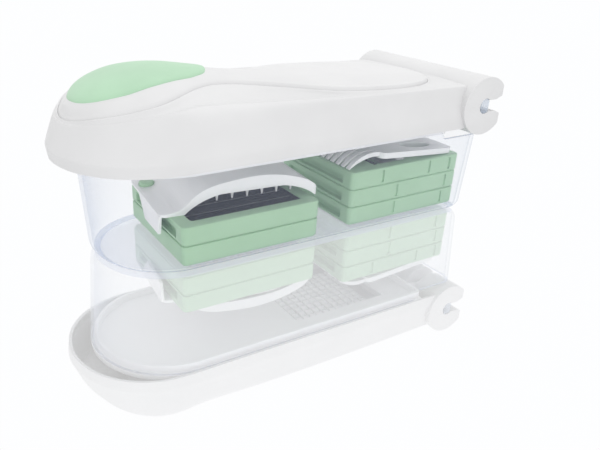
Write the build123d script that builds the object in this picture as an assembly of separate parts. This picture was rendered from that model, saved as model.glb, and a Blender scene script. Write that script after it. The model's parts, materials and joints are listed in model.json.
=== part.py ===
from build123d import *
import math
import os

# Lever chopper and slicer set on its own storage box, in millimetres.
# +X points to the hinge, -Y to the front, +Z up; the origin is the middle of the base.

# ---- driving dimensions ------------------------------------------------------------------
NOSE_X = -145.5              # tip of the lid
BACK_X = 145.5               # flat back of the hinge barrel
LAYER_H = 12.5               # height of one cutting insert

# clear storage box
BOX_REAR_X = 138.0
BOX_NOSE_CENTRE_X = -77.0
BOX_HALF_W_LOW = 48.2
BOX_HALF_W_TOP = 52.9
BOX_H = 66.0
BOX_WALL = 2.2
BOX_FLOOR = 3.0
BOX_CORNER_R = 10.0
BOX_EDGE_R = 8.0             # outer rounding where the wall meets the base
BOX_INNER_EDGE_R = 2.5
REAR_RIM_Z = 58.0            # the rim is lower under the hinge barrel
REAR_RIM_X = 108.0

# hinge
AXIS_X = 130.9
AXIS_Z = 78.8
AXLE_R = 5.0
AXLE_BORE_R = 5.05
BARREL_R = 19.4
BARREL_HALF_W = 58.0
AXLE_FLAT = 3.6              # half thickness between the flats that pass the clip mouth
MOUTH_INNER_H = 7.6          # the clip mouth passes the axle only when the lid stands upright
MOUTH_OUTER_H = 12.5
LUG_Y = 30.0
LUG_T = 8.0
LUG_R = 9.0
LUG_BAY_T = 10.0
LUG_BAY_R = 10.3

# lid
SKIRT_Z = 64.6
SKIRT_HALF_W = 56.0
LID_TOP_Z = 118.0            # above every point of the lid's top
LID_TOP_HALF_W = 50.6
LID_TOP_NOSE_X = -136.0
LID_REAR_X = 120.0
LID_WALL = 2.2
LID_ROOF = 2.4
FIT_GAP = 0.1                # between glued or clipped neighbours with curved faces

# screws of the handle cover
SCREW_PLACES = [(-20, 9), (-20, -9), (88, 24), (88, -24)]
SCREW_R = 1.5
SCREW_HEAD_R = 3.2
SCREW_HEAD_H = 1.8
SCREW_GRIP = 2.2             # depth of the screw in the handle cover

# cutting frame
FLANGE_T = 3.0
PLUG_DEPTH = 5.0
PLUG_GAP = 0.5
PLUG_WALL = 2.4
SEAT_CENTRE_X = 45.0
SEAT_TOP_Z = 80.0
SEAT_WALL = 2.5
SEAT_GAP = 0.5

# pusher under the lid
STUD_PITCH = 6.0
STUD_SPACING = 1.4
STUD_INSET = 3.0
STUD_ROOT_Z = 84.0
STUD_TIP_Z = 76.0
PUSHER_T = 3.0

# cutting inserts
INSERT_L = 96.0
INSERT_W = 84.0
INSERT_R = 3.5
INSERT_FOOT = 1.2            # recessed foot that leaves the shadow gap between layers
WINDOW_L = 78.0
WINDOW_W = 68.0
WINDOW_R = 2.0
BLADE_T = 0.6
BLADE_H = 4.0
BLADE_LOW_Z = 2.5            # lower blade layer, above the insert's underside

SLOT_W = 2.2
SLOT_D = 1.2
GROOVE_D = 3.5
GROOVE_Z = 2.6
GROOVE_H = 6.0
GROOVE_START = 10.0
DECK_T = 3.0                 # deck of the mandoline insert
THROAT_X0 = 24.0
THROAT_X1 = 33.0
SLICER_X1 = 52.0
SLICER_T = 1.0
SLICER_OVERHANG = 2.5

LEFT_STACK_X = -84.8
LEFT_STACK_Y = -43.4
RIGHT_STACK_X = 38.0
RIGHT_STACK_Y = -40.6

# food guard on the left stack
GUARD_FOOT = (16.1, -34.4)    # right front foot, which the guard is turned about
GUARD_TURN = -5.3
GUARD_L = 107.6
GUARD_DEPTH = 66.0
GUARD_WALL = 2.0
GUARD_CORNER_R = 5.0
FLANGE_L = 14.0               # solid flange at the guard's left end
GUARD_TAB_T = 1.8
# The guard's own frame has its origin at the foot, x along its length and y across it.
GUARD_ROOF = [(-107.6, 29.6), (-100, 30.2), (-93, 32.2), (-87, 37.2), (-80, 41.6), (-64, 45.2), (-47, 46.6),
              (-30, 45.4), (-16, 42), (-6, 37.6), (0, 32)]
GUARD_ARCH = [(-92, 27.9), (-84, 33.2), (-77, 36.0), (-66, 38.2), (-48, 39.3), (-32, 38.6), (-20, 36.6),
              (-9, 32.4), (-2.4, 27.9)]
GUARD_TAB = [(1.0, 29), (3.5, 16.5), (32, 15), (44, 28.2), (44, 29)]
CAP_CENTRE = (-100, 52)
CAP_R = 5.2
CAP_TOP_Z = 32.6
SPIKE_COLUMNS = 7
SPIKE_ROWS = 6
SPIKE_PITCH = 10.3
SPIKE_X0 = -78.0
SPIKE_Y0 = 9.0
SPIKE_PLATE_X = (-82.0, -12.0)
SPIKE_PLATE_Z = 37.0
SPIKE_PLATE_T = 1.5
SPIKE_TIP_Z = 30.5

# cleaning comb on the right stack, resting on its rear edge and on the tips of its tines
COMB_X1 = 130.0
COMB_L = 66.5
COMB_Y0 = -37.5
COMB_Y1 = 12.0
COMB_T = 4.0
COMB_TILT = 4.3
COMB_GAP = 0.05
TINE_COUNT = 8
TINE_W = 3.4
TINE_T = 2.6
TINE_REACH = 24.0
HOLE_FROM_END = 25.0
HOLE_Y = -24.5
HOLE_A = 13.0
HOLE_B = 6.2

LEFT_TOP_Z = BOX_FLOOR + 2 * LAYER_H
RIGHT_TOP_Z = BOX_FLOOR + 3 * LAYER_H


# ---- shared shapes -----------------------------------------------------------------------
def block(x0, x1, y0, y1, z0, z1):
    """A box given by its limits."""
    size = Box(x1 - x0, y1 - y0, z1 - z0)
    return Pos((x0 + x1) / 2, (y0 + y1) / 2, (z0 + z1) / 2) * size


def d_plan(z, half_w, nose_centre_x, rear_x, corner_r):
    """A D-shaped face: round nose towards -X, parallel sides, rounded rear corners."""
    length = rear_x - nose_centre_x
    straight = Pos(nose_centre_x + length / 2, 0) * Rectangle(length, 2 * half_w)
    outline = straight + Pos(nose_centre_x, 0) * Circle(half_w)
    rear = outline.vertices().sort_by(Axis.X)[-2:]
    return Pos(0, 0, z) * fillet(rear, corner_r)


def drafted(z0, half_w0, z1, half_w1, nose_centre_x, rear_x, corner_r, nose_shift=0.0):
    """A D-shaped solid whose width grows or shrinks evenly with height."""
    low = d_plan(z0, half_w0, nose_centre_x, rear_x, corner_r)
    high = d_plan(z1, half_w1, nose_centre_x + nose_shift, rear_x, corner_r)
    return loft([low, high])


def under_profile(points, half_w):
    """Everything below a smooth lengthwise profile, as a wide solid."""
    crown = Spline(*points)
    first, last = points[0], points[-1]
    sides = Polyline((last[0], last[1]), (last[0], 0), (first[0], 0), (first[0], first[1]))
    face = make_face(crown + sides)
    return extrude(Plane.XZ * face, half_w, both=True)


def mirrored_outline(points):
    """A closed smooth outline from its front half, given from -X to +X."""
    front = [(x, -y) for x, y in points]
    rear = [(x, y) for x, y in reversed(points)]
    return make_face(Spline(*front) + Spline(*rear))


def cylinder_y(x, z, radius, y0, y1):
    """A cylinder along Y."""
    return Pos(x, (y0 + y1) / 2, z) * Rot(90, 0, 0) * Cylinder(radius, y1 - y0)


def cylinder_z(centre, radius, z0, z1):
    """An upright cylinder."""
    return Pos(centre[0], centre[1], (z0 + z1) / 2) * Cylinder(radius, z1 - z0)


def rounded_block(x0, x1, y0, y1, z0, z1, radius):
    """A box with rounded upright edges."""
    plan = Pos((x0 + x1) / 2, (y0 + y1) / 2) * RectangleRounded(x1 - x0, y1 - y0, radius)
    return extrude(Pos(0, 0, z0) * plan, z1 - z0)


def largest(shape):
    """The biggest solid of a cut result, without stray slivers."""
    return max(shape.solids(), key=lambda solid: solid.volume)


# ---- clear storage box -------------------------------------------------------------------
def box_half_width(z):
    """Outer half width of the box wall at a height."""
    return BOX_HALF_W_LOW + (BOX_HALF_W_TOP - BOX_HALF_W_LOW) * z / BOX_H


def make_container():
    outer = drafted(0, BOX_HALF_W_LOW, BOX_H, BOX_HALF_W_TOP, BOX_NOSE_CENTRE_X, BOX_REAR_X,
                    BOX_CORNER_R)
    outer = fillet(outer.faces().sort_by(Axis.Z)[0].edges(), BOX_EDGE_R)
    inner = drafted(BOX_FLOOR, box_half_width(BOX_FLOOR) - BOX_WALL, BOX_H, BOX_HALF_W_TOP - BOX_WALL,
                    BOX_NOSE_CENTRE_X, BOX_REAR_X - BOX_WALL, BOX_CORNER_R - BOX_WALL)
    inner = fillet(inner.faces().sort_by(Axis.Z)[0].edges(), BOX_INNER_EDGE_R)
    rear_step = block(REAR_RIM_X, BOX_REAR_X + 1, -60, 60, REAR_RIM_Z, BOX_H + 1)
    return outer - inner - rear_step


# ---- cutting frame and axle --------------------------------------------------------------
def make_cutting_frame():
    top = BOX_H + FLANGE_T
    rear = REAR_RIM_X - PLUG_GAP
    flange = extrude(d_plan(BOX_H, BOX_HALF_W_TOP, BOX_NOSE_CENTRE_X, rear, 3), FLANGE_T)
    plug_w = box_half_width(BOX_H - PLUG_DEPTH) - BOX_WALL - PLUG_GAP
    plug = extrude(d_plan(BOX_H - PLUG_DEPTH, plug_w, BOX_NOSE_CENTRE_X, rear, 3), PLUG_DEPTH)
    core = extrude(d_plan(BOX_H - PLUG_DEPTH, plug_w - PLUG_WALL, BOX_NOSE_CENTRE_X,
                          rear - PLUG_WALL, 2), PLUG_DEPTH)
    frame = flange + (plug - core)

    seat_l = INSERT_L / 2 + SEAT_GAP
    seat_w = INSERT_W / 2 + SEAT_GAP
    x0 = SEAT_CENTRE_X - seat_l - SEAT_WALL
    x1 = SEAT_CENTRE_X + seat_l + SEAT_WALL
    wall_y = seat_w + SEAT_WALL
    collar = rounded_block(x0, x1, -wall_y, wall_y, BOX_H, SEAT_TOP_Z, INSERT_R + 2)
    seat = rounded_block(x0 + SEAT_WALL, x1 - SEAT_WALL, -seat_w, seat_w, top - 1.2, SEAT_TOP_Z + 1,
                         INSERT_R)
    window = rounded_block(SEAT_CENTRE_X - WINDOW_L / 2, SEAT_CENTRE_X + WINDOW_L / 2,
                           -WINDOW_W / 2, WINDOW_W / 2, BOX_H - PLUG_DEPTH - 1, SEAT_TOP_Z, WINDOW_R)
    frame = frame + collar - seat - window

    for side in (-1, 1):
        y0 = side * LUG_Y - LUG_T / 2
        y1 = side * LUG_Y + LUG_T / 2
        arm_start = REAR_RIM_X - 8
        arm = Polyline((arm_start, BOX_H), (AXIS_X - 2, AXIS_Z - LUG_R + 0.6),
                       (AXIS_X - 5, AXIS_Z + 3), (arm_start, top + 1), close=True)
        arm = Pos(0, y1, 0) * extrude(Plane.XZ * make_face(arm), LUG_T)
        frame = frame + arm + cylinder_y(AXIS_X, AXIS_Z, LUG_R, y0, y1)
    return frame - cylinder_y(AXIS_X, AXIS_Z, AXLE_BORE_R, -60, 60)


def make_hinge_axle():
    """Clear axle with two upright flats."""
    half_w = BARREL_HALF_W - 0.5
    axle = cylinder_y(AXIS_X, AXIS_Z, AXLE_R, -half_w, half_w)
    return axle & block(AXIS_X - AXLE_FLAT, AXIS_X + AXLE_FLAT, -60, 60, 60, 100)


# ---- lid ---------------------------------------------------------------------------------
SHELL_PROFILE = [(-150, 60), (-142, 84), (-136, 94), (-124, 101.5), (-104, 106), (-78, 105.5),
                 (-50, 102.5), (-20, 98.5), (15, 95.6), (60, 93.6), (125, 92.2)]
SPINE_PROFILE = [(-150, 84), (-136, 95), (-124, 103.5), (-104, 109), (-82, 110.5), (-50, 107),
                 (-15, 103.6), (15, 100.3), (50, 98), (90, 96.3), (125, 95)]
PAD_PROFILE = [(-137, 90), (-129, 99), (-115, 108), (-98, 113), (-80, 114.2), (-62, 111.5),
               (-44, 107)]
TONGUE_OUTLINE = [(-56, 0), (-54, 9), (-47, 13), (-27, 17.3), (-7, 25.5), (18, 37.5), (36, 42.5),
                  (62, 42.6), (84, 39.5), (101, 30), (110, 15), (112, 0)]
PAD_OUTLINE = [(-131, 0), (-128, 14), (-118, 26.5), (-103, 31), (-88, 27.5), (-68, 17), (-52, 6.5),
               (-46.5, 0)]


def lid_outer():
    """Outside of the lid before the handle cover and pad are added."""
    body = drafted(SKIRT_Z, SKIRT_HALF_W, LID_TOP_Z, LID_TOP_HALF_W, NOSE_X + SKIRT_HALF_W,
                   LID_REAR_X, 1, LID_TOP_NOSE_X + LID_TOP_HALF_W - NOSE_X - SKIRT_HALF_W)
    return body & under_profile(SHELL_PROFILE, 70)


def lid_cavity():
    """Hollow of the lid."""
    half_w = SKIRT_HALF_W - LID_WALL
    body = drafted(SKIRT_Z - 1, half_w + 0.1, LID_TOP_Z, LID_TOP_HALF_W - LID_WALL,
                   NOSE_X + SKIRT_HALF_W, LID_REAR_X + 5, 1,
                   LID_TOP_NOSE_X + LID_TOP_HALF_W - NOSE_X - SKIRT_HALF_W)
    profile = [(x + LID_ROOF * 0.9 if x < -130 else x, z - LID_ROOF) for x, z in SHELL_PROFILE]
    return body & under_profile(profile, 70)


def tongue_solid():
    plan = mirrored_outline(TONGUE_OUTLINE)
    return extrude(Pos(0, 0, 85) * plan, 30) & under_profile(SPINE_PROFILE, 70)


def pad_solid():
    plan = mirrored_outline(PAD_OUTLINE)
    return extrude(Pos(0, 0, 80) * plan, 40) & under_profile(PAD_PROFILE, 70)


def hinge_clearance(radius):
    return cylinder_y(AXIS_X, AXIS_Z, radius, -70, 70)


def shell_height(x):
    """Height of the shell profile at a place along the lid."""
    pairs = zip(SHELL_PROFILE, SHELL_PROFILE[1:])
    for (x0, z0), (x1, z1) in pairs:
        if x0 <= x <= x1:
            return z0 + (z1 - z0) * (x - x0) / (x1 - x0)
    raise ValueError("outside the lid")


def make_lid_shell():
    """White pressing lid with clearance holes for the cover screws."""
    behind_axis = block(AXIS_X - 8, 200, -80, 80, 50, 130)
    shell = lid_outer() - lid_cavity() - hinge_clearance(BARREL_R + FIT_GAP) - behind_axis
    for x, y in SCREW_PLACES:
        shell = shell - Pos(x, y, shell_height(x)) * Cylinder(SCREW_R + 0.1, 20)
    return shell


def make_handle_cover():
    """Raised tongue on top of the lid, with blind pilot holes underneath."""
    cover = tongue_solid() - lid_outer() - hinge_clearance(BARREL_R + 1)
    for x, y in SCREW_PLACES:
        cover = cover - Pos(x, y, shell_height(x)) * Cylinder(SCREW_R + 0.05, 2 * SCREW_GRIP + 0.2)
    return largest(cover)


def make_grip_pad():
    return largest(pad_solid() - lid_outer() - tongue_solid())


def make_cover_screws():
    screws = []
    for x, y in SCREW_PLACES:
        seat_z = shell_height(x) - LID_ROOF - 1.0
        tip_z = shell_height(x) + SCREW_GRIP
        shank = Pos(x, y, (seat_z + tip_z) / 2) * Cylinder(SCREW_R, tip_z - seat_z)
        head = Pos(x, y, seat_z - SCREW_HEAD_H / 2) * Cylinder(SCREW_HEAD_R, SCREW_HEAD_H)
        screws.append(shank + head)
    return screws


def make_hinge_barrel():
    barrel = cylinder_y(AXIS_X, AXIS_Z, BARREL_R, -BARREL_HALF_W, BARREL_HALF_W)
    barrel = barrel - block(BACK_X, BACK_X + 30, -80, 80, 40, 120)
    mouth = Polyline((AXIS_X, AXIS_Z - MOUTH_INNER_H / 2), (BACK_X - 5, AXIS_Z - MOUTH_INNER_H / 2),
                     (BACK_X + 1, AXIS_Z - MOUTH_OUTER_H / 2), (BACK_X + 1, AXIS_Z + MOUTH_OUTER_H / 2),
                     (BACK_X - 5, AXIS_Z + MOUTH_INNER_H / 2), (AXIS_X, AXIS_Z + MOUTH_INNER_H / 2),
                     close=True)
    barrel = barrel - extrude(Plane.XZ * make_face(mouth), 80, both=True)
    barrel = barrel - cylinder_y(AXIS_X, AXIS_Z, AXLE_BORE_R, -80, 80)
    for side in (-1, 1):
        y0 = side * LUG_Y - LUG_BAY_T / 2
        y1 = side * LUG_Y + LUG_BAY_T / 2
        barrel = barrel - block(100, 160, y0, y1, 40, AXIS_Z + 4.5)
        barrel = barrel - cylinder_y(AXIS_X, AXIS_Z, LUG_BAY_R, y0, y1)
    return barrel


def make_pusher_block():
    """Plate under the lid with a grid of square studs that pushes food through the blades."""
    half_l = WINDOW_L / 2 - STUD_INSET
    half_w = WINDOW_W / 2 - STUD_INSET
    x0, x1 = SEAT_CENTRE_X - half_l, SEAT_CENTRE_X + half_l
    pusher = block(x0, x1, -half_w, half_w, STUD_ROOT_Z, STUD_ROOT_Z + PUSHER_T)
    for x in (x0 + 6, x1 - 6):
        for y in (-half_w + 6, half_w - 6):
            pusher = pusher + Pos(x, y, STUD_ROOT_Z + 8) * Cylinder(4, 16)
    pusher = pusher & Pos(0, 0, -FIT_GAP) * lid_cavity()
    count_x = int(2 * half_l / STUD_PITCH)
    count_y = int(2 * half_w / STUD_PITCH)
    size = STUD_PITCH - STUD_SPACING
    stud_h = STUD_ROOT_Z - STUD_TIP_Z
    grid = GridLocations(STUD_PITCH, STUD_PITCH, count_x, count_y)
    base = Pos(SEAT_CENTRE_X, 0, STUD_ROOT_Z)
    squares = [base * spot * Rectangle(size, size) for spot in grid]
    return pusher + [extrude(square, -stud_h) for square in squares]


# ---- cutting inserts ---------------------------------------------------------------------
def insert_body(x0, y0, z0, slots, end_groove):
    """Green frame of a cutting insert before its window is cut.

    slots gives the places of the narrow upright grooves in the front, from the left end.
    """
    x1, y1, z1 = x0 + INSERT_L, y0 + INSERT_W, z0 + LAYER_H
    foot_in = 1.0
    body = rounded_block(x0, x1, y0, y1, z0 + INSERT_FOOT, z1, INSERT_R)
    foot = rounded_block(x0 + foot_in, x1 - foot_in, y0 + foot_in, y1 - foot_in, z0,
                         z0 + INSERT_FOOT, INSERT_R - foot_in)
    body = body + foot
    top_rim = body.faces().sort_by(Axis.Z)[-1].edges()
    body = chamfer(top_rim, 0.5)
    for place in slots:
        body = body - block(x0 + place, x0 + place + SLOT_W, y0 - 1, y0 + SLOT_D,
                            z0 + INSERT_FOOT + 1, z1 - 1.6)
    if end_groove:
        body = body - block(x0 - 1, x0 + GROOVE_D, y0 + GROOVE_START, y1 - GROOVE_START,
                            z0 + GROOVE_Z, z0 + GROOVE_Z + GROOVE_H)
    return body


def insert_frame(x0, y0, z0, slots=(), end_groove=False):
    """Green frame with its open window."""
    cx, cy = x0 + INSERT_L / 2, y0 + INSERT_W / 2
    window = rounded_block(cx - WINDOW_L / 2, cx + WINDOW_L / 2, cy - WINDOW_W / 2, cy + WINDOW_W / 2,
                           z0 - 1, z0 + LAYER_H + 1, WINDOW_R)
    return insert_body(x0, y0, z0, slots, end_groove) - window


def grid_blades(x0, y0, z0, step_x, step_y):
    """Two layers of steel strips: the lower ones run across, the upper ones lengthwise."""
    cx, cy = x0 + INSERT_L / 2, y0 + INSERT_W / 2
    low_z = z0 + BLADE_LOW_Z
    high_z = low_z + BLADE_H
    strips = []
    rows = round(WINDOW_W / step_y) - 1
    for row in range(rows):
        y = cy + (row - (rows - 1) / 2) * step_y
        strips.append(block(cx - WINDOW_L / 2, cx + WINDOW_L / 2, y - BLADE_T / 2, y + BLADE_T / 2,
                            high_z, high_z + BLADE_H))
    columns = round(WINDOW_L / step_x) - 1
    for column in range(columns):
        x = cx + (column - (columns - 1) / 2) * step_x
        strips.append(block(x - BLADE_T / 2, x + BLADE_T / 2, cy - WINDOW_W / 2, cy + WINDOW_W / 2,
                            low_z, high_z))
    return strips


def wedge_blades(x0, y0, z0):
    """Six blades that meet in a small hub and cut a fruit into wedges."""
    cx, cy = x0 + INSERT_L / 2, y0 + INSERT_W / 2
    low_z = z0 + BLADE_LOW_Z
    height = 2 * BLADE_H
    star = Pos(cx, cy, low_z + height / 2) * Cylinder(3, height)
    limit = block(cx - WINDOW_L / 2, cx + WINDOW_L / 2, cy - WINDOW_W / 2, cy + WINDOW_W / 2,
                  low_z, low_z + height)
    for angle in (30, 90, 150):
        strip = Pos(cx, cy, low_z + height / 2) * Rot(0, 0, angle) * Box(140, BLADE_T, height)
        star = star + (strip & limit)
    return star


def slicer_frame(x0, y0, z0, slots):
    """Mandoline insert: a closed deck with a throat and a seat for the slicing blade."""
    body = insert_body(x0, y0, z0, slots, True)
    cy = y0 + INSERT_W / 2
    hollow = rounded_block(x0 + 8, x0 + INSERT_L - 8, cy - WINDOW_W / 2, cy + WINDOW_W / 2, z0 - 1,
                           z0 + LAYER_H - DECK_T, WINDOW_R)
    throat = block(x0 + THROAT_X0, x0 + THROAT_X1, cy - WINDOW_W / 2, cy + WINDOW_W / 2, z0 - 1,
                   z0 + LAYER_H + 1)
    seat = block(x0 + THROAT_X1 - 0.1, x0 + SLICER_X1, cy - WINDOW_W / 2, cy + WINDOW_W / 2,
                 z0 + LAYER_H - SLICER_T, z0 + LAYER_H + 1)
    return body - hollow - throat - seat


def slicer_blade(x0, y0, z0):
    """Flat steel blade with a bevelled edge towards the throat."""
    cy = y0 + INSERT_W / 2
    top = z0 + LAYER_H
    edge_x = x0 + THROAT_X1 - SLICER_OVERHANG
    outline = Polyline((edge_x, top - 0.2), (edge_x + 2, top), (x0 + SLICER_X1, top),
                       (x0 + SLICER_X1, top - SLICER_T), (edge_x + 2, top - SLICER_T), close=True)
    face = Plane.XZ * make_face(outline)
    return Pos(0, cy + WINDOW_W / 2, 0) * extrude(face, WINDOW_W)


# ---- food guard --------------------------------------------------------------------------
def guard_profile(drop, end_gap, depth, z_low):
    """Solid under the guard's roof line, lowered by drop and shortened at both ends."""
    points = [(x, z - drop) for x, z in GUARD_ROOF if -GUARD_L + end_gap < x < -end_gap]
    first = (-GUARD_L + end_gap, GUARD_ROOF[0][1] - drop)
    last = (-end_gap, GUARD_ROOF[-1][1] - drop)
    roof = Spline(first, *points, last)
    rest = Polyline(last, (-end_gap, z_low), (-GUARD_L + end_gap, z_low), first)
    return Pos(0, depth, 0) * extrude(Plane.XZ * make_face(roof + rest), depth)


def place_guard(shape):
    """Move a shape from the guard's own frame to its place in the box."""
    return Pos(GUARD_FOOT[0], GUARD_FOOT[1], 0) * Rot(0, 0, GUARD_TURN) * shape


def make_guard_shell():
    """Hollow guard with an arched roof, arched long sides and a tab that hangs at its left end."""
    base = LEFT_TOP_Z
    body = guard_profile(0, 0, GUARD_DEPTH, base)
    body = body & rounded_block(-GUARD_L, 0, 0, GUARD_DEPTH, base, 60, GUARD_CORNER_R)
    inner_depth = GUARD_DEPTH - 2 * GUARD_WALL
    hollow = Pos(0, GUARD_WALL, 0) * guard_profile(GUARD_WALL, GUARD_WALL, inner_depth, base - 5)
    hollow = hollow & block(-GUARD_L + FLANGE_L, 0, 0, GUARD_DEPTH, base - 2, 60)
    arch_line = Spline(*GUARD_ARCH)
    arch_end = Polyline(GUARD_ARCH[-1], (GUARD_ARCH[-1][0], base - 5), (GUARD_ARCH[0][0], base - 5),
                        GUARD_ARCH[0])
    arch = Pos(0, GUARD_DEPTH + 5, 0) * extrude(Plane.XZ * make_face(arch_line + arch_end),
                                                GUARD_DEPTH + 10)
    tab = extrude(Plane.YZ * make_face(Polyline(*GUARD_TAB, close=True)), GUARD_TAB_T)
    hole = cylinder_z(CAP_CENTRE, CAP_R + 0.05, base - 5, CAP_TOP_Z + 5)
    return place_guard(body - hollow - arch + Pos(-GUARD_L, 0, 0) * tab - hole)


def make_guard_spikes():
    """Plate with rows of pointed pins that holds the food, held between the guard's long walls."""
    y0, y1 = GUARD_WALL, GUARD_DEPTH - GUARD_WALL
    plate = block(*SPIKE_PLATE_X, y0, y1, SPIKE_PLATE_Z, SPIKE_PLATE_Z + SPIKE_PLATE_T)
    length = SPIKE_PLATE_Z - SPIKE_TIP_Z
    pins = []
    for column in range(SPIKE_COLUMNS):
        for row in range(SPIKE_ROWS):
            x = SPIKE_X0 + column * SPIKE_PITCH
            y = SPIKE_Y0 + row * SPIKE_PITCH
            pins.append(Pos(x, y, SPIKE_PLATE_Z - length / 2) * Cone(0.5, 1.3, length))
    return place_guard(plate + pins)


def make_guard_cap():
    """Domed round cap that sits in the guard's end flange."""
    peg = cylinder_z(CAP_CENTRE, CAP_R, LEFT_TOP_Z + 0.2, CAP_TOP_Z)
    top = peg.faces().sort_by(Axis.Z)[-1]
    return place_guard(fillet(top.edges(), 1.5))


# ---- cleaning comb -----------------------------------------------------------------------
def comb_tine(y):
    """One curved tine, in the comb's own frame with the origin at its rear lower edge."""
    root_x = -COMB_L + 1
    tip_x = -COMB_L - TINE_REACH
    tip_z = tip_x * math.sin(math.radians(COMB_TILT)) + 0.15
    middle_x = (root_x + tip_x) / 2
    upper = ThreePointArc((root_x, COMB_T), (middle_x, COMB_T - 1.2), (tip_x, tip_z + 0.9))
    lower = ThreePointArc((root_x, COMB_T - TINE_T), (middle_x, COMB_T - TINE_T - 1.6),
                          (tip_x + 0.4, tip_z))
    tip = Line((tip_x, tip_z + 0.9), (tip_x + 0.4, tip_z))
    root = Line((root_x, COMB_T), (root_x, COMB_T - TINE_T))
    return Pos(0, y + TINE_W, 0) * extrude(Plane.XZ * make_face(upper + tip + lower + root), TINE_W)


def make_cleaning_comb():
    """Comb with curved tines that pushes food out of the blades, and an oval finger hole."""
    comb = rounded_block(-COMB_L, 0, COMB_Y0, COMB_Y1, 0, COMB_T, 5)
    hole = Pos(-HOLE_FROM_END, HOLE_Y, 0) * extrude(Ellipse(HOLE_A, HOLE_B), COMB_T)
    comb = comb - hole
    pitch = (COMB_Y1 - COMB_Y0 - TINE_W - 6) / (TINE_COUNT - 1)
    for index in range(TINE_COUNT):
        comb = comb + comb_tine(COMB_Y0 + 3 + index * pitch)
    return Pos(COMB_X1, 0, RIGHT_TOP_Z + COMB_GAP) * Rot(0, COMB_TILT, 0) * comb


# ---- all parts ---------------------------------------------------------------------------
def make_parts():
    """Every node of the object by name."""
    left_low, left_high = BOX_FLOOR, BOX_FLOOR + LAYER_H
    right_low, right_mid, right_high = left_low, left_high, BOX_FLOOR + 2 * LAYER_H
    left = (LEFT_STACK_X, LEFT_STACK_Y)
    right = (RIGHT_STACK_X, RIGHT_STACK_Y)
    return {
        "container": make_container(),
        "cutting_frame": make_cutting_frame(),
        "hinge_axle": make_hinge_axle(),
        "lid_shell": make_lid_shell(),
        "hinge_barrel": make_hinge_barrel(),
        "handle_cover": make_handle_cover(),
        "grip_pad": make_grip_pad(),
        "cover_screws": make_cover_screws(),
        "pusher_block": make_pusher_block(),
        "dicer_large_frame": insert_frame(*left, left_low),
        "dicer_large_blades": grid_blades(*left, left_low, 13.0, 11.333),
        "dicer_fine_frame": insert_frame(*left, left_high, end_groove=True),
        "dicer_fine_blades": grid_blades(*left, left_high, 6.5, 11.333),
        "wedge_frame": insert_frame(*right, right_low, (38, 82), True),
        "wedge_blades": wedge_blades(*right, right_low),
        "dicer_small_frame": insert_frame(*right, right_mid, (39, 84), True),
        "dicer_small_blades": grid_blades(*right, right_mid, 6.5, 6.8),
        "slicer_frame": slicer_frame(*right, right_high, (25, 67, 86)),
        "slicer_blade": slicer_blade(*right, right_high),
        "guard_shell": make_guard_shell(),
        "guard_spikes": make_guard_spikes(),
        "guard_cap": make_guard_cap(),
        "cleaning_comb": make_cleaning_comb(),
    }


def as_shape(part):
    """One exportable shape from a solid or a group of separate solids."""
    if isinstance(part, (list, tuple)):
        return Compound(children=[solid for item in part for solid in item.solids()])
    return part


os.makedirs("parts", exist_ok=True)
for node, part in make_parts().items():
    export_step(as_shape(part), os.path.join("parts", node + ".step"))
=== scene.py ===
import json
import math

import bmesh
import bpy
import numpy as np
from mathutils import Matrix, Vector

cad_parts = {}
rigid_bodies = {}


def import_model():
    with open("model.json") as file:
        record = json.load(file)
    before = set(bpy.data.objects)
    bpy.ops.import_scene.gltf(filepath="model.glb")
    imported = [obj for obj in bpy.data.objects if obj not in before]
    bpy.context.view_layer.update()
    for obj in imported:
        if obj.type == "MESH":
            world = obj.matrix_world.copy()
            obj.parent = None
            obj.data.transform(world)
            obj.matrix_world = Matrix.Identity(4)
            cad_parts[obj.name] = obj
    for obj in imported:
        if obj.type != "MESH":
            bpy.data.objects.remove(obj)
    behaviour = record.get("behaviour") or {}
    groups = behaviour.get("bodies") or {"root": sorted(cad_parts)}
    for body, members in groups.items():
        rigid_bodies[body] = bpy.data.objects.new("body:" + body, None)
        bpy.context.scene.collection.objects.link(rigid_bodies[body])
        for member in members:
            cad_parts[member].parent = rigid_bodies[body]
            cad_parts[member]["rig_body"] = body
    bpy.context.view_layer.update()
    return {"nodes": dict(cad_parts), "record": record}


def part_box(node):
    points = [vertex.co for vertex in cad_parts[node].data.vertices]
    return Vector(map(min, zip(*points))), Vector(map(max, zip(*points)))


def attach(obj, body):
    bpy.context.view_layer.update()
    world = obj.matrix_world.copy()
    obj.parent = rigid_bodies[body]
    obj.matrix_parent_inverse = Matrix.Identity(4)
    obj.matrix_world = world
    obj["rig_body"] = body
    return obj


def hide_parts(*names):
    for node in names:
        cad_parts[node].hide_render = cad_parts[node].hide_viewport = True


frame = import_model()

MM = 0.001
WELD = 2e-6                  # points closer than this, in metres, become one


def box_mm(node):
    """Lowest and highest corner of a CAD node, in millimetres."""
    low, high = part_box(node)
    return np.array(low) / MM, np.array(high) / MM


# ---- materials ---------------------------------------------------------------------------
def new_material(name):
    material = bpy.data.materials.new(name)
    material.use_nodes = True
    nodes, links = material.node_tree.nodes, material.node_tree.links
    return material, nodes, links, nodes["Principled BSDF"]


def noise(nodes, links, scale, detail, stretch=(1, 1, 1)):
    """Noise in the object's own coordinates, where one unit is a metre."""
    place = nodes.new("ShaderNodeTexCoord")
    mapping = nodes.new("ShaderNodeMapping")
    mapping.inputs["Scale"].default_value = stretch
    texture = nodes.new("ShaderNodeTexNoise")
    texture.inputs["Scale"].default_value = scale
    texture.inputs["Detail"].default_value = detail
    links.new(place.outputs["Object"], mapping.inputs["Vector"])
    links.new(mapping.outputs["Vector"], texture.inputs["Vector"])
    return texture.outputs["Fac"]


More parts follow.
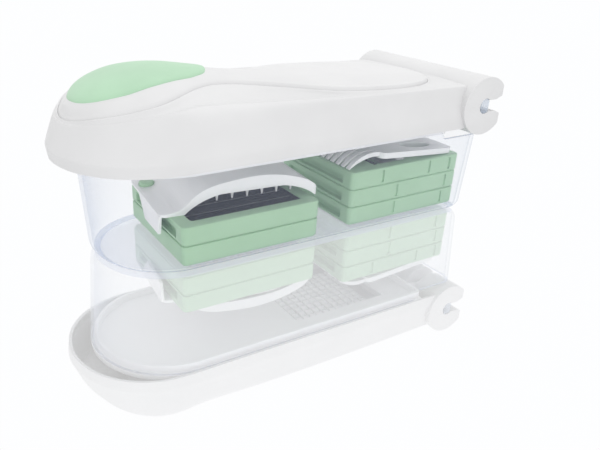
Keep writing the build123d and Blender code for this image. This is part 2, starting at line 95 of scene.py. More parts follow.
def ramp(nodes, links, factor, low, high, start=0.35, end=0.65):
    """Blend from one colour to another over a range of the factor."""
    blend = nodes.new("ShaderNodeValToRGB")
    blend.color_ramp.elements[0].position = start
    blend.color_ramp.elements[1].position = end
    blend.color_ramp.elements[0].color = (*low, 1)
    blend.color_ramp.elements[1].color = (*high, 1)
    links.new(factor, blend.inputs["Fac"])
    return blend.outputs["Color"]


def spread(nodes, links, factor, low, high):
    """Map a 0 to 1 factor to a range of values."""
    spreader = nodes.new("ShaderNodeMapRange")
    spreader.inputs["To Min"].default_value = low
    spreader.inputs["To Max"].default_value = high
    links.new(factor, spreader.inputs["Value"])
    return spreader.outputs["Result"]


def bump(nodes, links, shader, height, strength, distance):
    bumper = nodes.new("ShaderNodeBump")
    bumper.inputs["Strength"].default_value = strength
    bumper.inputs["Distance"].default_value = distance
    links.new(height, bumper.inputs["Height"])
    links.new(bumper.outputs["Normal"], shader.inputs["Normal"])


TONE_DRIFT = 0.012           # how far a plastic's colour drifts to either side


def moulded_plastic(name, colour, roughness, grain_strength=0.12):
    """Opaque moulded plastic: faint tone drift, uneven gloss and a fine moulded grain."""
    material, nodes, links, shader = new_material(name)
    tone = noise(nodes, links, scale=28, detail=2)
    low = [max(0.0, c - TONE_DRIFT) for c in colour]
    high = [min(1.0, c + TONE_DRIFT) for c in colour]
    links.new(ramp(nodes, links, tone, low, high), shader.inputs["Base Color"])
    wear = noise(nodes, links, scale=220, detail=4)
    links.new(spread(nodes, links, wear, roughness - 0.05, roughness + 0.06),
              shader.inputs["Roughness"])
    grain = noise(nodes, links, scale=1500, detail=2)
    bump(nodes, links, shader, grain, grain_strength, distance=0.00002)
    shader.inputs["IOR"].default_value = 1.49
    return material


def soft_touch(name, colour):
    """Soft grip skin: matt, with a fine leather-like grain."""
    material, nodes, links, shader = new_material(name)
    tone = noise(nodes, links, scale=35, detail=3)
    low = [c * 0.97 for c in colour]
    high = [min(1.0, c * 1.03) for c in colour]
    links.new(ramp(nodes, links, tone, low, high), shader.inputs["Base Color"])
    wear = noise(nodes, links, scale=300, detail=3)
    links.new(spread(nodes, links, wear, low=0.5, high=0.62), shader.inputs["Roughness"])
    grain = noise(nodes, links, scale=2600, detail=3)
    bump(nodes, links, shader, grain, strength=0.25, distance=0.00003)
    shader.inputs["Sheen Weight"].default_value = 0.15
    shader.inputs["Sheen Roughness"].default_value = 0.5
    return material


def clear_plastic(name, colour, alpha, edge_alpha):
    """Clear bluish plastic: see-through face-on, milkier where the surface turns away."""
    material, nodes, links, shader = new_material(name)
    facing = nodes.new("ShaderNodeLayerWeight")
    facing.inputs["Blend"].default_value = 0.35
    shader.inputs["Base Color"].default_value = (*colour, 1)
    edge = nodes.new("ShaderNodeMath")
    edge.operation = "POWER"
    exponent = edge.inputs[1]
    exponent.default_value = 2.2
    links.new(facing.outputs["Facing"], edge.inputs[0])
    links.new(spread(nodes, links, edge.outputs["Value"], alpha, edge_alpha),
              shader.inputs["Alpha"])
    scratches = noise(nodes, links, scale=700, detail=4, stretch=(1, 1, 0.15))
    links.new(spread(nodes, links, scratches, low=0.04, high=0.10), shader.inputs["Roughness"])
    waves = noise(nodes, links, scale=60, detail=2)
    bump(nodes, links, shader, waves, strength=0.04, distance=0.0002)
    shader.inputs["IOR"].default_value = 1.52
    return material


def blade_steel(name, colour):
    """Ground stainless steel with fine lines along the strip."""
    material, nodes, links, shader = new_material(name)
    lines = noise(nodes, links, scale=900, detail=2, stretch=(0.05, 1, 1))
    low = [c * 0.85 for c in colour]
    tone = ramp(nodes, links, lines, low, colour, start=0.3, end=0.7)
    links.new(tone, shader.inputs["Base Color"])
    links.new(spread(nodes, links, lines, low=0.16, high=0.34), shader.inputs["Roughness"])
    bump(nodes, links, shader, lines, strength=0.1, distance=0.00002)
    shader.inputs["Metallic"].default_value = 1.0
    return material


LID_WHITE = moulded_plastic("lid_white", (0.67, 0.67, 0.675), roughness=0.36)
# the parts' white is their own white plus painted light: it is brighter than the lid's white to lift
# the shade under the lid
PART_WHITE_AND_FILL = moulded_plastic("part_white_and_painted_fill", (0.86, 0.86, 0.865), roughness=0.34, grain_strength=0.03)
GREEN = moulded_plastic("insert_green", (0.36, 0.56, 0.36), roughness=0.38, grain_strength=0.1)
SOFT_GREEN = soft_touch("grip_green", (0.40, 0.61, 0.43))
CLEAR = clear_plastic("clear_blue", (0.64, 0.71, 0.88), alpha=0.045, edge_alpha=0.6)
CLEAR_EDGE = clear_plastic("clear_edge", (0.50, 0.60, 0.86), alpha=0.40, edge_alpha=0.8)
AXLE_CLEAR = clear_plastic("axle_clear", (0.62, 0.70, 0.82), alpha=0.38, edge_alpha=0.9)
STEEL = blade_steel("blade_steel", (0.72, 0.72, 0.73))
# near-black steel for the bands that line the inserts' windows: painted shade in the wells
WELL_SHADE_STEEL = blade_steel("well_painted_shade", (0.02, 0.02, 0.021))
# near-black steel for the blades' sides: painted shade in the wells
BLADE_SIDE_SHADE = blade_steel("blade_side_shade", (0.035, 0.035, 0.036))


# ---- mesh helpers ------------------------------------------------------------------------
def mesh_object(name, points_mm, faces, smooth_angle=35):
    """A new object from points in millimetres."""
    mesh = bpy.data.meshes.new(name)
    mesh.from_pydata([tuple(float(c) * MM for c in p) for p in points_mm], [], faces)
    piece = bpy.data.objects.new(name, mesh)
    bpy.context.scene.collection.objects.link(piece)
    tidy_normals(mesh, smooth_angle)
    return piece


def tidy_normals(mesh, smooth_angle):
    """Weld doubles, face everything outwards and smooth up to an angle."""
    work = bmesh.new()
    work.from_mesh(mesh)
    bmesh.ops.remove_doubles(work, verts=work.verts, dist=WELD)
    bmesh.ops.recalc_face_normals(work, faces=work.faces)
    for face in work.faces:
        face.smooth = True
    work.to_mesh(mesh)
    work.free()
    mesh.set_sharp_from_angle(angle=math.radians(smooth_angle))


def apply_modifiers(piece):
    """Bake the modifiers into the mesh."""
    graph = bpy.context.evaluated_depsgraph_get()
    mesh = bpy.data.meshes.new_from_object(piece.evaluated_get(graph))
    piece.modifiers.clear()
    piece.data = mesh
    return piece


def skin(rings, closed_around=True, cap_first=False, cap_last=False):
    """Faces between rings of equal length."""
    count = len(rings[0])
    points = [p for ring in rings for p in ring]
    faces = []
    steps = count if closed_around else count - 1
    for row in range(len(rings) - 1):
        for i in range(steps):
            j = (i + 1) % count
            a, b = row * count + i, row * count + j
            faces.append((a, b, b + count, a + count))
    if cap_first:
        faces.append(tuple(range(count)))
    if cap_last:
        faces.append(tuple(range((len(rings) - 1) * count, len(rings) * count)))
    return points, faces


def join_parts(parts):
    """One list of points and faces from several."""
    points, faces = [], []
    for some_points, some_faces in parts:
        start = len(points)
        points.extend(some_points)
        faces.extend(tuple(i + start for i in face) for face in some_faces)
    return points, faces


def smooth_curve(controls, samples):
    """Catmull-Rom curve through control points, with that many steps in each span."""
    p = np.array(controls, float)
    ends = []
    for end, nearest in ((p[0], p[1]), (p[-1], p[-2])):
        across = abs(end[1]) < 1e-6 < abs(nearest[1])
        ends.append(nearest * np.array([1, -1, 1]) if across else 2 * end - nearest)
    p = np.vstack([ends[0], p, ends[1]])
    out = []
    for i in range(1, len(p) - 2):
        for t in np.arange(samples) / samples:
            a = 2 * p[i]
            b = p[i + 1] - p[i - 1]
            c = 2 * p[i - 1] - 5 * p[i] + 4 * p[i + 1] - p[i + 2]
            d = -p[i - 1] + 3 * p[i] - 3 * p[i + 1] + p[i + 2]
            out.append((a + b * t + c * t * t + d * t ** 3) / 2)
    out.append(p[-2])
    return np.array(out)


def finish_piece(piece, material, body, slot, *nodes):
    """Give a piece its material and its body, and hide the CAD nodes it stands for; the slot
    argument is not used.
    """
    piece.data.materials.clear()
    piece.data.materials.append(material)
    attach(piece, body)
    if nodes:
        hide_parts(*nodes)
    return piece


FLAT_ANGLE = 1.0             # facets that meet at less than this are one flat face
BEVEL_ANGLE = 30             # edges sharper than this are rounded
REFINED_SMOOTH_ANGLE = 40
SLOTS = {part["node"]: part["material_slot"] for part in frame["record"]["subparts"]}


def refined(node, material, bevel, segments):
    """A copy of a CAD node with rounded edges, which stands for it."""
    source = frame["nodes"][node]
    mesh = source.data.copy()
    work = bmesh.new()
    work.from_mesh(mesh)
    bmesh.ops.remove_doubles(work, verts=work.verts, dist=WELD)
    bmesh.ops.dissolve_limit(work, angle_limit=math.radians(FLAT_ANGLE), verts=work.verts,
                             edges=work.edges)
    work.to_mesh(mesh)
    work.free()
    piece = bpy.data.objects.new(node + "_shape", mesh)
    bpy.context.scene.collection.objects.link(piece)
    rounding = piece.modifiers.new("rounding", "BEVEL")
    rounding.width = bevel * MM
    rounding.segments = segments
    rounding.limit_method = "ANGLE"
    rounding.angle_limit = math.radians(BEVEL_ANGLE)
    rounding.use_clamp_overlap = True
    apply_modifiers(piece)
    tidy_normals(piece.data, REFINED_SMOOTH_ANGLE)
    return finish_piece(piece, material, source["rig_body"], SLOTS[node], node)


LEVEL_NORMAL = 0.8           # a face whose normal rises less than this is a side


def shade_blade_sides(blades):
    """Ground cutting edges keep the bright steel; the sides of the strips get near-black steel,
    painted shade for the dark well between them.
    """
    blades.data.materials.append(BLADE_SIDE_SHADE)
    shade_slot = len(blades.data.materials) - 1
    for face in blades.data.polygons:
        if abs(face.normal.z) < LEVEL_NORMAL:
            face.material_index = shade_slot


BAND_BELOW = 1.5
BAND_ABOVE = 1.2
BAND_OUTER_INSET = 0.02
BAND_INNER_INSET = 0.5


def paint_well_shade(node):
    """Near-black steel band round the inside of an insert's window: painted shade that darkens the
    well round its blades.
    """
    low, high = box_mm(node)
    z0, z1 = low[2] - BAND_BELOW, high[2] + BAND_ABOVE
    outer, inner = BAND_OUTER_INSET, BAND_INNER_INSET
    rings = []
    for inset, z in ((outer, z0), (outer, z1), (inner, z1), (inner, z0)):
        x0, y0, x1, y1 = low[0] + inset, low[1] + inset, high[0] - inset, high[1] - inset
        rings.append([(x0, y0, z), (x1, y0, z), (x1, y1, z), (x0, y1, z)])
    rings.append(rings[0])
    band = mesh_object(node + "_shade_band", *skin(rings), smooth_angle=30)
    finish_piece(band, WELL_SHADE_STEEL, frame["nodes"][node]["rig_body"], "blade_steel")


# ---- lid ---------------------------------------------------------------------------------
# Guide curves run from the tip of the nose, along the front side, to the middle of the rear
# edge. Their points pair up station by station, and the far side is their mirror image.
LID_LOW, LID_HIGH = box_mm("lid_shell")
NOSE_X = LID_LOW[0]
SKIRT_Z = LID_LOW[2]
SKIRT_HALF = LID_HIGH[1]
REAR_IN = 0.4                # the drawn rear edge stops this far inside the CAD lid's
LID_REAR_X = LID_HIGH[0] - REAR_IN
SPAN_STEPS = 8
NOSE_ANGLES = (0, 25, 48, 70, 90)
SIDE_X = (-56, -26, 8, 45, 82, LID_REAR_X)
SIDE_STATIONS = len(NOSE_ANGLES) + len(SIDE_X)
REAR_SHARES = (0.5, 0.0)
REAR_CROWN = 1.6             # the rear edge is this much higher in its middle


def lid_side(half_w, tip_x, heights):
    """Stations of a D-shaped guide curve, ending at the lid's rear corner."""
    centre = tip_x + half_w
    stations = []
    for angle in NOSE_ANGLES:
        a = math.radians(angle)
        stations.append((centre - half_w * math.cos(a), -half_w * math.sin(a)))
    stations += [(x, -half_w) for x in SIDE_X]
    return [(x, y, z) for (x, y), z in zip(stations, heights)]


def rear_edge(corner):
    """Stations from the rear corner to the middle of the rear edge."""
    x, y, z = corner
    return [(x, y * share, z + REAR_CROWN * (1 - share)) for share in REAR_SHARES]


SKIRT_TUCK = 0.9             # the skirt's lower edge tucks in by this much
BELLY_UP = 6.5               # height of the skirt's widest line above its lower edge
BELLY_SHARES = (0, 0.7, 1)   # rows from the skirt's lower edge to its widest line
WALL_SHARES = (0.15, 0.35, 0.6, 0.85)    # rows from there to where the crease begins to round
CREASE_IN = 3.6
CREASE_TIP_IN = 5.6
CREASE_HEIGHTS = (86.4, 87.4, 90.2, 92.8, 94.6, 95.6, 95.6, 94.9, 93.9, 93.1, 92.6)
CREASE_SIDE = lid_side(SKIRT_HALF - CREASE_IN, NOSE_X + CREASE_TIP_IN, CREASE_HEIGHTS)
PANEL_EDGE = [
    (-135.0, 0, 90.0), (-132.5, -14.5, 91.4), (-123.5, -30.0, 95.5), (-109.5, -39.8, 99.3),
    (-93.0, -40.5, 102.2), (-64.0, -20.5, 103.6), (-42.0, -13.6, 102.7), (-14.0, -21.2, 100.4),
    (24.0, -39.6, 97.8), (66.0, -42.6, 96.0), (94.0, -35.5, 95.2), (109.0, -19.5, 94.8),
    (112.0, 0, 94.8)]
# how far the crease is rounded at each station, from the nose to the rear
CORNER_SIZE = (18, 18, 17, 15, 12, 8, 5.5, 3.2, 2.0, 1.6, 1.4)
CORNER_STEPS = 9
WALL_CORNER_LIMIT = 0.75     # a corner takes at most this share of the wall above the belly
TOP_CORNER_LIMIT = 0.45      # and this share of the way to the handle cover
# how deep the shoulder dips beside each point of the handle cover's edge
SCOOP = (0.3, 0.3, 0.5, 0.8, 1.2, 2.5, 3.0, 2.2, 1.2, 0.8, 0.5, 0.3, 0.1)
SCOOP_STEPS = 13
PANEL_SIDE_OUT = 1.5         # the panel's side leans out by this much
PANEL_SIDE_DOWN = 2.1
GROOVE_W = 0.1
GROOVE_D = 0.5
LIP_W = 1.2
LIP_DROP = 0.25
LIP_CREST = 0.1
PANEL_UNDERLAP = 2.0         # the shell runs on under the cover's edge by this much
INNER_SHARES = (0.35, 0.7, 1.0)
SPINE_FROM_X, SPINE_TO_X = -112, 96
LID_WALL = 2.0
LID_SMOOTH_ANGLE = 50


def sample(stations):
    return smooth_curve(stations, SPAN_STEPS)


def sample_values(values):
    return smooth_curve([(v, 0, 0) for v in values], SPAN_STEPS)[:, 0]


def plan_normals(curve):
    """Unit normals in plan that point away from the lid's centre line."""
    tangent = np.gradient(curve[:, :2], axis=0)
    tangent /= np.linalg.norm(tangent, axis=1)[:, None]
    normal = np.column_stack([tangent[:, 1], -tangent[:, 0], np.zeros(len(curve))])
    normal[0] = (-1, 0, 0)
    normal[-1] = (1, 0, 0)
    return normal


def offset(curve, outward, up):
    """A guide curve moved outwards in plan and up."""
    return curve + plan_normals(curve) * outward + np.array([0, 0, up])


def mirrored_back(half):
    """The far side's points of a half ring, without its two ends on the centre line."""
    return half[1:-1][::-1] * np.array([1, -1, 1])


def around(half):
    """The whole closed ring from its front half."""
    return np.vstack([half, mirrored_back(half)])


def spine_below(curve):
    """Points of the centre line that face each point of a guide curve, at its height."""
    x = np.clip(curve[:, 0], SPINE_FROM_X, SPINE_TO_X)
    return np.column_stack([x, np.zeros(len(x)), curve[:, 2]])


def lid_wall_rows(low, belly, crease_side, corner_start, corner_end):
    """Rows of the lid's wall, from the skirt's lower edge over the rounded crease."""
    rows = [low + (belly - low) * s for s in BELLY_SHARES]
    rows += [belly + (corner_start - belly) * s for s in WALL_SHARES]
    for s in np.linspace(0, 1, CORNER_STEPS):
        rows.append((1 - s) ** 2 * corner_start + 2 * s * (1 - s) * crease_side
                    + s * s * corner_end)
    return rows


def lid_top_rows(panel, corner_end, lip, scoop):
    """Rings of the lid's top, from the crease down the scoop and under the handle cover."""
    groove_z = -PANEL_SIDE_DOWN - GROOVE_D
    rows = []
    for s in np.linspace(0, 1, SCOOP_STEPS):
        dip = np.column_stack([np.zeros((len(panel), 2)), -scoop * 4 * s * (1 - s)])
        rows.append(corner_end + (lip - corner_end) * s + dip)
    inner = offset(panel, -PANEL_UNDERLAP, groove_z)
    rows.append(offset(panel, PANEL_SIDE_OUT + GROOVE_W, -PANEL_SIDE_DOWN + LIP_CREST))
    rows.append(offset(panel, PANEL_SIDE_OUT, groove_z))
    rows.append(inner)
    middle = spine_below(inner)
    rows += [inner + (middle - inner) * s for s in INNER_SHARES]
    return rows


def make_lid_shell():
    level = [SKIRT_Z] * SIDE_STATIONS
    belly_level = [SKIRT_Z + BELLY_UP] * SIDE_STATIONS
    low = sample(lid_side(SKIRT_HALF - SKIRT_TUCK, NOSE_X + SKIRT_TUCK, level))
    belly = sample(lid_side(SKIRT_HALF, NOSE_X, belly_level))
    crease_side = sample(CREASE_SIDE)
    rear = smooth_curve([CREASE_SIDE[-1]] + rear_edge(CREASE_SIDE[-1]), SPAN_STEPS)[1:]
    crease = np.vstack([crease_side, rear])
    panel = sample(PANEL_EDGE)
    corner = np.concatenate([sample_values(CORNER_SIZE), np.zeros(len(rear))])[:, None]
    scoop = sample_values(SCOOP)[:, None]
    lip = offset(panel, PANEL_SIDE_OUT + GROOVE_W + LIP_W, -PANEL_SIDE_DOWN - LIP_DROP)

    sides = len(crease_side)
    to_crease = crease_side - belly
    wall_length = np.linalg.norm(to_crease, axis=1)[:, None]
    wall_corner = np.minimum(corner[:sides], wall_length * WALL_CORNER_LIMIT)
    corner_start = crease_side - to_crease / wall_length * wall_corner
    to_lip = lip - crease
    lip_length = np.linalg.norm(to_lip, axis=1)[:, None]
    reach = np.minimum(corner, lip_length * TOP_CORNER_LIMIT)
    corner_end = crease + to_lip / np.maximum(lip_length, 1e-6) * reach

    wall = lid_wall_rows(low, belly, crease_side, corner_start, corner_end[:sides])
    wall = [np.vstack([row[1:][::-1] * np.array([1, -1, 1]), row]) for row in wall]
    top = [around(row) for row in lid_top_rows(panel, corner_end, lip, scoop)]
    parts = [skin(wall, closed_around=False), skin(top)]
    lid = mesh_object("lid_shell_shape", *join_parts(parts), smooth_angle=LID_SMOOTH_ANGLE)
    thickness = lid.modifiers.new("wall", "SOLIDIFY")
    thickness.thickness = LID_WALL * MM
    thickness.offset = -1
    apply_modifiers(lid)
    lid.data.set_sharp_from_angle(angle=math.radians(LID_SMOOTH_ANGLE))
    return finish_piece(lid, LID_WHITE, "lid", "lid_plastic", "lid_shell")


# ---- handle cover and grip pad -----------------------------------------------------------
SPINE = [(-140, 89.5), (-131, 97.5), (-120, 104.5), (-106, 109.6), (-90, 112.2), (-76, 112.2),
         (-60, 110.0), (-40, 106.8), (-14, 103.8), (20, 101.0), (60, 98.6), (95, 96.6), (113, 94.9)]
CROWN_POWER = 2.2
COVER_SIDE = [(-2.0, -PANEL_SIDE_DOWN - 0.6), (PANEL_SIDE_OUT - 0.1, -PANEL_SIDE_DOWN - 0.6),
              (PANEL_SIDE_OUT, -PANEL_SIDE_DOWN), (0.55, -0.65), (0.2, -0.2), (0.0, 0.0)]
COVER_SHARES = (0.025, 0.07, 0.14, 0.22, 0.32, 0.42, 0.54, 0.66, 0.78, 0.89, 1.0)
PAD_EDGE = [(-131.5, 0), (-128.5, -12.5), (-120.5, -23.5), (-107, -30.6), (-92, -29.3), (-74, -21.0),
            (-61, -14.0), (-53.5, -8.8), (-50.0, 0)]
PAD_SPAN_STEPS = 10
PAD_LIFT = 1.1               # the pad's top stands this far above the crowned cover
PAD_SIDE = [(0.0, -1.0), (0.0, 0.15), (0.35, 0.65), (1.0, 0.95), (2.2, PAD_LIFT)]
PAD_SHARES = (0.1, 0.2, 0.32, 0.45, 0.6, 0.75, 0.88, 1.0)
PAD_FROM_X, PAD_TO_X = -116, -62


def spine_height(x):
    points = smooth_curve([(px, 0, pz) for px, pz in SPINE], SPAN_STEPS)
    return np.interp(x, points[:, 0], points[:, 2])


def edge_at(x, edge):
    """Half width and height of a guide curve at places along the lid."""
    ordered = edge[np.argsort(edge[:, 0])]
    half_w = np.interp(x, ordered[:, 0], -ordered[:, 1])
    height = np.interp(x, ordered[:, 0], ordered[:, 2])
    return half_w, height


def crown_height(x, y, edge):
    """Height of the handle's crowned top surface."""
    half_w, edge_z = edge_at(x, edge)
    share = np.clip(np.abs(y) / np.maximum(half_w, 1e-3), 0, 1)
    rise = np.maximum(spine_height(x) - edge_z, 0)
    return edge_z + rise * (1 - share ** CROWN_POWER)


def crowned_rows(ring, middle, shares, edge, lift):
    """Rows from a ring towards the centre line, laid at a height above the crowned top."""
    rows = []
    for share in shares:
        row = ring + (middle - ring) * share
        row[:, 2] = crown_height(row[:, 0], row[:, 1], edge) + lift
        rows.append(row)
    return rows


def pad_curve(inset, lift, edge):
    """The pad's outline laid on the crowned top, moved inwards and up."""
    flat = smooth_curve([(x, y, 0) for x, y in PAD_EDGE], PAD_SPAN_STEPS)
    flat = offset(flat, -inset, 0)
    flat[0, 1] = flat[-1, 1] = 0
    flat[:, 2] = crown_height(flat[:, 0], flat[:, 1], edge) + lift
    return flat


def make_handle_cover():
    edge = sample(PANEL_EDGE)
    rows = [offset(edge, outward, up) for outward, up in COVER_SIDE]
    rows += crowned_rows(edge, spine_below(edge), COVER_SHARES, edge, lift=0)
    points, faces = skin([around(row) for row in rows])
    cover = mesh_object("handle_cover_shape", points, faces, smooth_angle=LID_SMOOTH_ANGLE)
    return finish_piece(cover, LID_WHITE, "lid", "lid_plastic", "handle_cover")


def make_grip_pad():
    edge = sample(PANEL_EDGE)
    rows = [pad_curve(inset, lift, edge) for inset, lift in PAD_SIDE]
    last = rows[-1]
    x = np.clip(last[:, 0], PAD_FROM_X, PAD_TO_X)
    middle = np.column_stack([x, np.zeros(len(x)), last[:, 2]])
    rows += crowned_rows(last, middle, PAD_SHARES, edge, lift=PAD_LIFT)
    pad = mesh_object("grip_pad_shape", *skin([around(row) for row in rows]), smooth_angle=60)
    return finish_piece(pad, SOFT_GREEN, "lid", "soft_grip", "grip_pad")


# ---- clear box ---------------------------------------------------------------------------
BOX_LOW, BOX_HIGH = box_mm("container")
BOX_TOP_HALF = BOX_HIGH[1]
BOX_REAR_X = BOX_HIGH[0]
BOX_CENTRE_X = BOX_LOW[0] + BOX_TOP_HALF
BOX_H = BOX_HIGH[2]
BOX_DRAFT = 4.7              # how much narrower each half is at the base than at the rim
BOX_LOW_HALF = BOX_TOP_HALF - BOX_DRAFT
BOX_WALL = 2.2
BOX_FLOOR = 3.0
BOX_CORNER_R = 10.0
INNER_CORNER_R = 2.0         # the least radius an inset ring's corner may have
BASE_EDGE_R = 8.0
FLOOR_EDGE_R = 2.5
REAR_RIM_Z = 58.0
RIM_DROP_X = 109.5
RIM_DROP_SOFTNESS = 0.45
NOSE_POINTS = 25
SIDE_PLACES = (0.02, 0.995, 36)          # first, last and number of places along a side
CORNER_POINTS = 9
REAR_HALF_WIDTHS = (30, 20, 10, 0)       # places across the rear wall
BASE_STEPS = 10
FLOOR_STEPS = 7
OUTER_LEVELS = [*np.linspace(12, 54, 8), 57.5, 60, 63]
INNER_LEVELS = [63, 60, 57.5, *np.linspace(54, 8, 8)]
RIM_ROUNDING = [(0, -0.5), (0.15, -0.12), (0.6, 0), (BOX_WALL - 0.6, 0),
                (BOX_WALL - 0.15, -0.12), (BOX_WALL, -0.5)]
BASE_BAND_Z = 2.2            # the milky base band reaches this high
FLAT_BASE_NORMAL = -0.98
RIM_NORMAL = 0.6


def wall_height(level, x):
    """Height of a ring's point: above the lowered rim it drops towards the hinge."""
    drop = 1 / (1 + math.exp(-(x - RIM_DROP_X) / RIM_DROP_SOFTNESS))
    return level - max(0.0, level - REAR_RIM_Z) * drop


def box_ring(inset, level):
    """D-shaped ring of the box at a level, inset from its drafted outside."""
    corner_r = max(BOX_CORNER_R - inset, INNER_CORNER_R)
    rear = BOX_REAR_X - inset
    ring = []

    def half_width(z):
        return BOX_LOW_HALF + (BOX_TOP_HALF - BOX_LOW_HALF) * z / BOX_H - inset

    nose_z = wall_height(level, BOX_CENTRE_X)
    nose_half = half_width(nose_z)
    for degrees in np.linspace(0, 90, NOSE_POINTS):
        a = math.radians(degrees)
        ring.append((BOX_CENTRE_X - nose_half * math.cos(a), -nose_half * math.sin(a), nose_z))
    for share in np.linspace(*SIDE_PLACES):
        z = wall_height(level, BOX_CENTRE_X + share * (BOX_REAR_X - BOX_CENTRE_X))
        ring.append((BOX_CENTRE_X + share * (rear - corner_r - BOX_CENTRE_X), -half_width(z), z))
    rear_z = wall_height(level, BOX_REAR_X)
    corner_y = -half_width(rear_z) + corner_r
    for degrees in np.linspace(0, 90, CORNER_POINTS):
        a = math.radians(degrees)
        ring.append((rear - corner_r + corner_r * math.sin(a), corner_y - corner_r * math.cos(a),
                     rear_z))
    ring += [(ring[-1][0], -y, rear_z) for y in REAR_HALF_WIDTHS]
    return around(np.array(ring))


def rounded_edge_rows(inset, height, radius, degrees_list):
    """Rings round a rounded lower edge, outside or inside the box."""
    rows = []
    for degrees in degrees_list:
        a = math.radians(degrees)
        in_by = radius - radius * math.cos(a)
        up_by = radius - radius * math.sin(a)
        rows.append(box_ring(inset + in_by, height + up_by))
    return rows


def make_box():
    rows = rounded_edge_rows(0, 0, BASE_EDGE_R, np.linspace(90, 0, BASE_STEPS))
    rows += [box_ring(0, level) for level in OUTER_LEVELS]
    rows += [box_ring(inset, BOX_H + drop) for inset, drop in RIM_ROUNDING]
    rows += [box_ring(BOX_WALL, level) for level in INNER_LEVELS]
    rows += rounded_edge_rows(BOX_WALL, BOX_FLOOR, FLOOR_EDGE_R, np.linspace(0, 90, FLOOR_STEPS))
    points, faces = skin(rows, cap_first=True, cap_last=True)
    box = mesh_object("storage_box", points, faces, smooth_angle=40)
    finish_piece(box, CLEAR, "box", "clear_plastic", "container")
    box.data.materials.append(CLEAR_EDGE)
    for face in box.data.polygons:
        z = face.center.z / MM
        base = z < BASE_BAND_Z and face.normal.z > FLAT_BASE_NORMAL
        rim = z > REAR_RIM_Z - 1 and face.normal.z > RIM_NORMAL
        if base or rim:
            face.material_index = 1


# ---- all pieces --------------------------------------------------------------------------
make_lid_shell()
make_handle_cover()
make_grip_pad()
make_box()

# CAD node: material, width of its rounded edges in millimetres, steps in the rounding
REFINED = {
    "hinge_barrel": (LID_WHITE, 0.7, 3), "hinge_axle": (AXLE_CLEAR, 0.4, 2),
    "cutting_frame": (PART_WHITE_AND_FILL, 0.5, 2), "pusher_block": (PART_WHITE_AND_FILL, 0.3, 2),
    "guard_shell": (PART_WHITE_AND_FILL, 0.9, 3), "guard_spikes": (PART_WHITE_AND_FILL, 0.15, 1),
    "guard_cap": (GREEN, 0.2, 1), "cleaning_comb": (PART_WHITE_AND_FILL, 0.5, 3),
    "dicer_large_frame": (GREEN, 0.5, 3), "dicer_fine_frame": (GREEN, 0.5, 3),
    "dicer_small_frame": (GREEN, 0.5, 3), "wedge_frame": (GREEN, 0.5, 3),
    "slicer_frame": (GREEN, 0.5, 3), "cover_screws": (STEEL, 0.2, 2),
}
BLADE_BEVEL = 0.08
for node, (material, width, segments) in REFINED.items():
    refined(node, material, width, segments)
for node in ("dicer_large_blades", "dicer_fine_blades", "dicer_small_blades", "wedge_blades"):
    blades = refined(node, STEEL, BLADE_BEVEL, 1)
    # the sides of the blade strips get painted shade
    shade_blade_sides(blades)
    # a near-black band inside the window: painted shade in the well
    paint_well_shade(node)
refined("slicer_blade", STEEL, BLADE_BEVEL, 1)


# ---- stage -------------------------------------------------------------------------------
FLOOR_REACH = 4000           # half of the floor's side, in millimetres
FLOOR_BELOW = 0.0003         # in metres, so the box's base doesn't lie in the floor's plane
CAMERA_LENS = 37.75
CAMERA_SENSOR = 36
CAMERA_SHIFT_X = 0.109
CAMERA_SHIFT_Y = 0.002
CAMERA_PLACE = (-216.9, -338.7, 180.0)   # in millimetres; the three angles are in degrees
CAMERA_YAW = 29.32
CAMERA_PITCH = 24.89
CAMERA_ROLL = 1.05


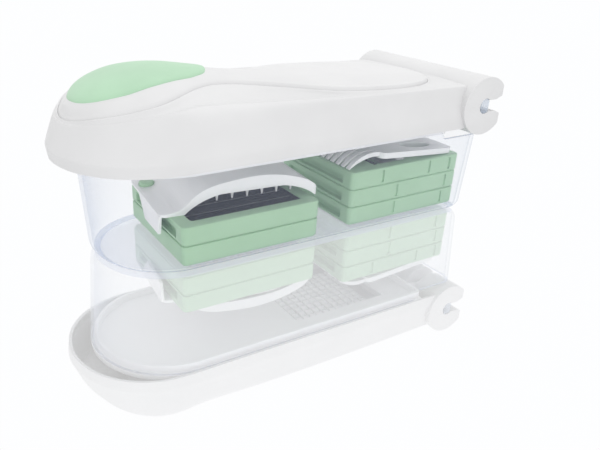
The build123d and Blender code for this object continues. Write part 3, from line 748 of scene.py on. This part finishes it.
def make_floor():
    """Pale floor that shines evenly by itself and carries a soft mirror image."""
    low, high = -FLOOR_REACH, FLOOR_REACH
    corners = [(low, low, 0), (high, low, 0), (high, high, 0), (low, high, 0)]
    floor = mesh_object("floor", corners, [(0, 1, 2, 3)])
    floor.location.z = -FLOOR_BELOW
    material = bpy.data.materials.new("floor_white")
    material.use_nodes = True
    nodes, links = material.node_tree.nodes, material.node_tree.links
    nodes.clear()
    output = nodes.new("ShaderNodeOutputMaterial")
    glow = nodes.new("ShaderNodeEmission")
    glow.inputs["Color"].default_value = (1, 1, 1, 1)
    gloss = nodes.new("ShaderNodeBsdfGlossy")
    gloss.inputs["Color"].default_value = (0.975, 0.985, 1.0, 1)
    gloss.inputs["Roughness"].default_value = 0.02
    mix = nodes.new("ShaderNodeMixShader")
    mix.inputs["Fac"].default_value = 0.5
    links.new(glow.outputs["Emission"], mix.inputs[1])
    links.new(gloss.outputs["BSDF"], mix.inputs[2])
    links.new(mix.outputs["Shader"], output.inputs["Surface"])
    floor.data.materials.append(material)


def area_light(name, place, target, size, power):
    """Square light, placed in metres, that the camera and gloss don't show as a shape."""
    data = bpy.data.lights.new(name, "AREA")
    data.size = size
    data.energy = power
    light = bpy.data.objects.new(name, data)
    light.visible_camera = False
    light.visible_glossy = False
    light.location = place
    light.rotation_euler = (Vector(target) - Vector(place)).to_track_quat("-Z", "Y").to_euler()
    bpy.context.scene.collection.objects.link(light)


def make_camera():
    data = bpy.data.cameras.new("camera")
    data.lens = CAMERA_LENS
    data.sensor_width = CAMERA_SENSOR
    data.shift_x = CAMERA_SHIFT_X
    data.shift_y = CAMERA_SHIFT_Y
    camera = bpy.data.objects.new("camera", data)
    yaw, pitch, roll = (math.radians(a) for a in (CAMERA_YAW, CAMERA_PITCH, CAMERA_ROLL))
    ahead_x = math.sin(yaw) * math.cos(pitch)
    ahead_y = math.cos(yaw) * math.cos(pitch)
    forward = Vector((ahead_x, ahead_y, -math.sin(pitch)))
    level_right = Vector((math.cos(yaw), -math.sin(yaw), 0))
    level_up = level_right.cross(forward)
    right = level_right * math.cos(roll) + level_up * math.sin(roll)
    up = level_up * math.cos(roll) - level_right * math.sin(roll)
    turn = Matrix((right, up, -forward)).transposed()
    camera.matrix_world = Matrix.Translation(Vector(CAMERA_PLACE) * MM) @ turn.to_4x4()
    bpy.context.scene.collection.objects.link(camera)
    bpy.context.scene.camera = camera


def make_world():
    world = bpy.data.worlds.new("studio")
    world.use_nodes = True
    background = world.node_tree.nodes["Background"]
    background.inputs["Color"].default_value = (1, 1, 1, 1)
    background.inputs["Strength"].default_value = 1.0
    bpy.context.scene.world = world


make_floor()
make_world()
make_camera()
area_light("key", place=(0.45, 0.55, 1.2), target=(0, 0, 0.05), size=0.8, power=5.2)
area_light("front", place=(-0.35, -0.95, 0.16), target=(0, 0, 0.04), size=0.5, power=2.6)
bpy.context.scene.view_settings.view_transform = "Standard"
